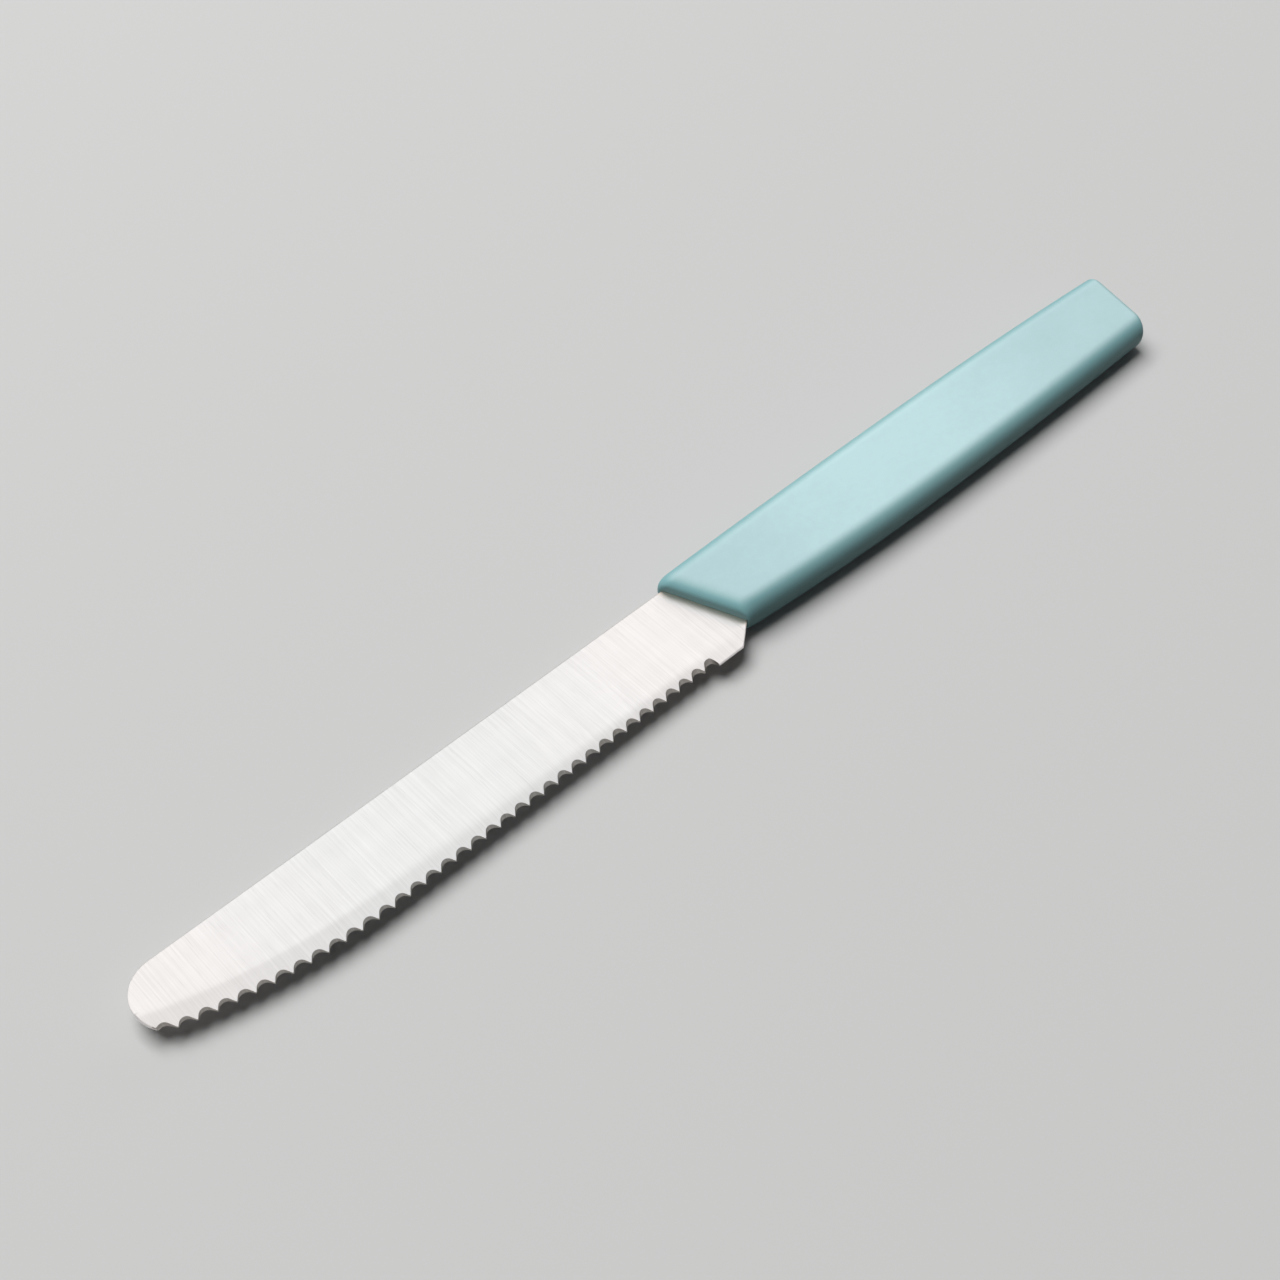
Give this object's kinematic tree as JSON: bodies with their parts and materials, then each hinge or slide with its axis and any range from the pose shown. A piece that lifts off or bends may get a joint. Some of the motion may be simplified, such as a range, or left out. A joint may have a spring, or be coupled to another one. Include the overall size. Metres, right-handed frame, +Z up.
{
  "type": "table knife",
  "caption": "Table knife with a round-ended, serrated steel blade and a one-piece moulded plastic handle with a slanted front.",
  "frame": {"origin": "on the table, under the centre of the knife's bounding box as it lies on its side", "axes": "+X from the blade's round end to the butt, +Y from the cutting edge to the spine, +Z up through the thickness"},
  "size_m": [0.215, 0.019, 0.007],
  "materials": {
    "steel": "cross-brushed satin",
    "plastic": "satin, pale aqua"
  },
  "bodies": {
    "root": {"blade": "steel", "handle": "plastic"}
  },
  "joints": []
}
